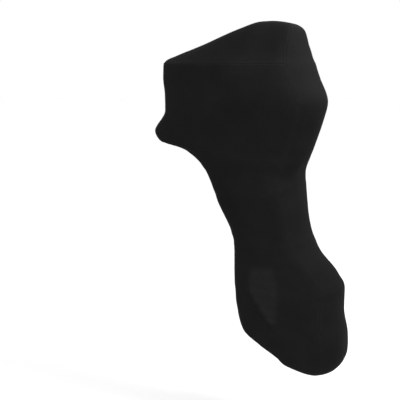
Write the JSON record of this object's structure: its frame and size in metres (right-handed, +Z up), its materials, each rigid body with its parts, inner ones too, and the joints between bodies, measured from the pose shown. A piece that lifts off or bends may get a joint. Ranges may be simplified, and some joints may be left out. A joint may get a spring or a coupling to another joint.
{
  "type": "outboard motor cover",
  "caption": "Full-length fitted cloth cover for a tilted outboard motor: domed cowl, narrow leg and gearcase foot, hollow, open at the front of the leg.",
  "frame": {"origin": "under the crown of the roof, on the inner face of the cloth, where the cover rests on the top of the cowl", "axes": "+X aft, +Y to starboard, +Z up, with the motor tilted so that its foot is swung aft"},
  "size_m": [1.05, 0.5016, 1.6169],
  "materials": {
    "cover_cloth": "matte"
  },
  "bodies": {
    "root": {"roof_panel": "cover_cloth", "front_panel": "cover_cloth", "port_side_panel": "cover_cloth", "starboard_side_panel": "cover_cloth", "aft_panel": "cover_cloth", "leg_front_panel": "cover_cloth", "toe_panel": "cover_cloth"}
  },
  "joints": []
}
